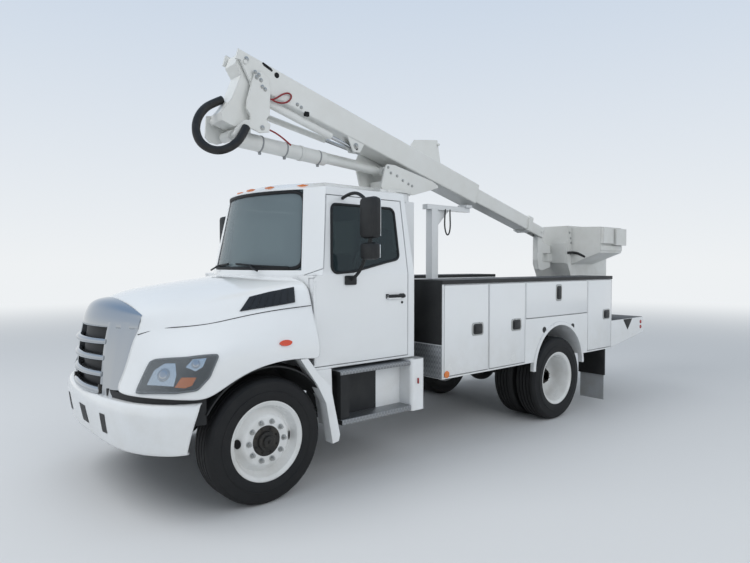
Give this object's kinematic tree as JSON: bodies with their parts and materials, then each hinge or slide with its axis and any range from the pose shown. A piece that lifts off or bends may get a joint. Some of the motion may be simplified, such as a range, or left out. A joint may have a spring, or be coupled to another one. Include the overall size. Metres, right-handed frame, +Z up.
{
  "type": "cherry picker truck",
  "caption": "White two-axle service truck with side compartments, a turntable on a column, a lower arm and a telescopic boom with a work platform behind.",
  "frame": {"origin": "on the ground under the middle of the whole vehicle", "axes": "+Y towards the rear, +X towards the driver's side, +Z up"},
  "size_m": [2.8, 7.73, 3.7834],
  "materials": {
    "white_paint": "gloss white enamel",
    "wheel_paint": "white enamel, road film",
    "grey_paint": "satin grey enamel",
    "black_paint": "satin black chassis paint",
    "black_rail": "textured black coating",
    "black_plastic": "grained black plastic",
    "tyre": "matt black rubber",
    "rubber": "matt black",
    "glass": "clear, faint tint",
    "interior": "grey plastic and cloth",
    "amber_lens": "amber lens",
    "clear_lens": "clear lens",
    "chrome": "polished",
    "fibreglass": "gel-coated glass-fibre tube",
    "fibreglass_grey": "gel-coated glass fibre",
    "rod_steel": "hard-chromed rod",
    "cast_iron": "dusty cast metal"
  },
  "bodies": {
    "truck": {"body_deck": "white_paint", "body_left": "white_paint", "body_right": "white_paint", "boom_rest": "white_paint", "bumper": "white_paint", "cab_glass": "glass", "cab_interior": "interior", "cab_shell": "white_paint", "cab_steps": "black_paint", "chassis_frame": "black_paint", "driveline": "cast_iron", "front_axle": "black_paint", "hitch": "white_paint", "lamps": "amber_lens", "mud_flaps": "rubber", "pedestal": "grey_paint", "rear_axle": "black_paint", "step_boxes": "white_paint", "top_rails": "black_rail"},
    "hood": {"hood": "white_paint", "fenders": "white_paint", "grille": "chrome", "headlamps": "clear_lens"},
    "cab_door_left": {"cab_door_left": "white_paint", "door_glass_left": "glass", "mirror_left": "black_plastic"},
    "door_1_left": {"door_1_left": "white_paint"},
    "door_2_left": {"door_2_left": "white_paint"},
    "door_3_left": {"door_3_left": "white_paint"},
    "door_4_left": {"door_4_left": "white_paint"},
    "knuckle_left": {"knuckle_left": "black_paint"},
    "front_wheel_left": {"front_tyre_left": "tyre", "front_rim_left": "wheel_paint"},
    "rear_wheel_left": {"rear_tyres_left": "tyre", "rear_rims_left": "wheel_paint"},
    "cab_door_right": {"cab_door_right": "white_paint", "door_glass_right": "glass", "mirror_right": "black_plastic"},
    "door_1_right": {"door_1_right": "white_paint"},
    "door_2_right": {"door_2_right": "white_paint"},
    "door_3_right": {"door_3_right": "white_paint"},
    "door_4_right": {"door_4_right": "white_paint"},
    "knuckle_right": {"knuckle_right": "black_paint"},
    "front_wheel_right": {"front_tyre_right": "tyre", "front_rim_right": "wheel_paint"},
    "rear_wheel_right": {"rear_tyres_right": "tyre", "rear_rims_right": "wheel_paint"},
    "turret": {"turret": "white_paint"},
    "arm": {"lower_arm": "fibreglass"},
    "level_link": {"level_link": "white_paint"},
    "elbow": {"elbow": "white_paint", "hose_loop": "rubber"},
    "arm_cylinder_barrel": {"arm_cylinder_barrel": "white_paint"},
    "arm_cylinder_rod": {"arm_cylinder_rod": "rod_steel"},
    "boom": {"boom_outer": "white_paint"},
    "boom_cylinder_barrel": {"boom_cylinder_barrel": "white_paint"},
    "boom_cylinder_rod": {"boom_cylinder_rod": "rod_steel"},
    "boom_inner": {"boom_inner": "white_paint"},
    "leveller": {"leveller": "white_paint"},
    "platform": {"platform": "fibreglass_grey"}
  },
  "joints": [
    {"name": "hood_tilt", "type": "hinge", "parent": "truck", "child": "hood", "pos_m": [0, -3.74, 0.905], "axis": [1, 0, 0], "range_deg": [0, 55]},
    {"name": "cab_door_left", "type": "hinge", "parent": "truck", "child": "cab_door_left", "pos_m": [1.03, -2.293, 1.3], "axis": [0, 0, -1], "range_deg": [0, 70]},
    {"name": "door_1_left", "type": "hinge", "parent": "truck", "child": "door_1_left", "pos_m": [1.19, -0.907, 1.192], "axis": [0, 0, -1], "range_deg": [0, 90]},
    {"name": "door_2_left", "type": "hinge", "parent": "truck", "child": "door_2_left", "pos_m": [1.19, -0.223, 1.192], "axis": [0, 0, -1], "range_deg": [0, 90]},
    {"name": "door_3_left", "type": "hinge", "parent": "truck", "child": "door_3_left", "pos_m": [1.19, 1.06, 1.232], "axis": [0, 1, 0], "range_deg": [0, 90]},
    {"name": "door_4_left", "type": "hinge", "parent": "truck", "child": "door_4_left", "pos_m": [1.19, 1.727, 1.192], "axis": [0, 0, -1], "range_deg": [0, 90]},
    {"name": "steer_left", "type": "hinge", "parent": "truck", "child": "knuckle_left", "pos_m": [0.8, -2.775, 0.485], "axis": [0, 0, 1], "range_deg": [-35, 35]},
    {"name": "front_wheel_left", "type": "hinge", "parent": "knuckle_left", "child": "front_wheel_left", "pos_m": [0.975, -2.775, 0.485], "axis": [1, 0, 0], "continuous": true},
    {"name": "rear_wheel_left", "type": "hinge", "parent": "truck", "child": "rear_wheel_left", "pos_m": [1.04, 1.085, 0.485], "axis": [1, 0, 0], "continuous": true},
    {"name": "cab_door_right", "type": "hinge", "parent": "truck", "child": "cab_door_right", "pos_m": [-1.03, -2.293, 1.3], "axis": [0, 0, 1], "range_deg": [0, 70]},
    {"name": "door_1_right", "type": "hinge", "parent": "truck", "child": "door_1_right", "pos_m": [-1.19, -0.907, 1.192], "axis": [0, 0, 1], "range_deg": [0, 90]},
    {"name": "door_2_right", "type": "hinge", "parent": "truck", "child": "door_2_right", "pos_m": [-1.19, -0.223, 1.192], "axis": [0, 0, 1], "range_deg": [0, 90]},
    {"name": "door_3_right", "type": "hinge", "parent": "truck", "child": "door_3_right", "pos_m": [-1.19, 1.06, 1.232], "axis": [0, -1, 0], "range_deg": [0, 90]},
    {"name": "door_4_right", "type": "hinge", "parent": "truck", "child": "door_4_right", "pos_m": [-1.19, 1.727, 1.192], "axis": [0, 0, 1], "range_deg": [0, 90]},
    {"name": "steer_right", "type": "hinge", "parent": "truck", "child": "knuckle_right", "pos_m": [-0.8, -2.775, 0.485], "axis": [0, 0, 1], "range_deg": [-35, 35]},
    {"name": "front_wheel_right", "type": "hinge", "parent": "knuckle_right", "child": "front_wheel_right", "pos_m": [-0.975, -2.775, 0.485], "axis": [1, 0, 0], "continuous": true},
    {"name": "rear_wheel_right", "type": "hinge", "parent": "truck", "child": "rear_wheel_right", "pos_m": [-1.04, 1.085, 0.485], "axis": [1, 0, 0], "continuous": true},
    {"name": "turntable", "type": "hinge", "parent": "truck", "child": "turret", "pos_m": [0, -0.625, 2.6], "axis": [0, 0, 1], "continuous": true},
    {"name": "arm_lift", "type": "hinge", "parent": "turret", "child": "arm", "pos_m": [0, -0.675, 2.876], "axis": [-1, 0, 0], "range_deg": [0, 85]},
    {"name": "link_swing", "type": "hinge", "parent": "turret", "child": "level_link", "pos_m": [0, -0.6, 2.942], "axis": [-1, 0, 0], "range_deg": [0, 86]},
    {"name": "elbow_level", "type": "hinge", "parent": "arm", "child": "elbow", "pos_m": [0, -2.525, 3.01], "axis": [-1, 0, 0], "range_deg": [-86, 0]},
    {"name": "arm_cylinder_swing", "type": "hinge", "parent": "elbow", "child": "arm_cylinder_barrel", "pos_m": [0, -2.085, 3.32], "axis": [-1, 0, 0], "range_deg": [0, 91.3]},
    {"name": "arm_cylinder_stroke", "type": "slide", "parent": "arm_cylinder_barrel", "child": "arm_cylinder_rod", "axis": [0, 0.9845, -0.1753], "range_m": [0, 0.5355]},
    {"name": "boom_lift", "type": "hinge", "parent": "elbow", "child": "boom", "pos_m": [0, -2.435, 3.67], "axis": [1, 0, 0], "range_deg": [0, 75]},
    {"name": "boom_cylinder_swing", "type": "hinge", "parent": "elbow", "child": "boom_cylinder_barrel", "pos_m": [0, -2.245, 3.38], "axis": [1, 0, 0], "range_deg": [0, 79.1]},
    {"name": "boom_cylinder_stroke", "type": "slide", "parent": "boom_cylinder_barrel", "child": "boom_cylinder_rod", "axis": [0, 0.9615, -0.2747], "range_m": [0, 0.4207]},
    {"name": "boom_extend", "type": "slide", "parent": "boom", "child": "boom_inner", "axis": [0, 0.9646, -0.2639], "range_m": [0, 1.4]},
    {"name": "platform_level", "type": "hinge", "parent": "boom_inner", "child": "leveller", "pos_m": [0, 2.405, 2.31], "axis": [1, 0, 0], "range_deg": [-76, 0]},
    {"name": "platform_rotate", "type": "hinge", "parent": "leveller", "child": "platform", "pos_m": [0, 2.645, 1.93], "axis": [0, 0, 1], "range_deg": [-90, 90]}
  ],
  "couplings": [
    {"joint": "steer_right", "follows": "steer_left", "ratio": 1},
    {"joint": "link_swing", "follows": "arm_lift", "ratio": 1},
    {"joint": "elbow_level", "follows": "arm_lift", "ratio": -1},
    {"joint": "arm_cylinder_swing", "follows": "arm_lift", "ratio": 1.062},
    {"joint": "arm_cylinder_stroke", "follows": "arm_lift", "m_per_rad": 0.35761},
    {"joint": "boom_cylinder_swing", "follows": "boom_lift", "ratio": 1.0413},
    {"joint": "boom_cylinder_stroke", "follows": "boom_lift", "m_per_rad": 0.31756},
    {"joint": "platform_level", "follows": "boom_lift", "ratio": -1}
  ]
}
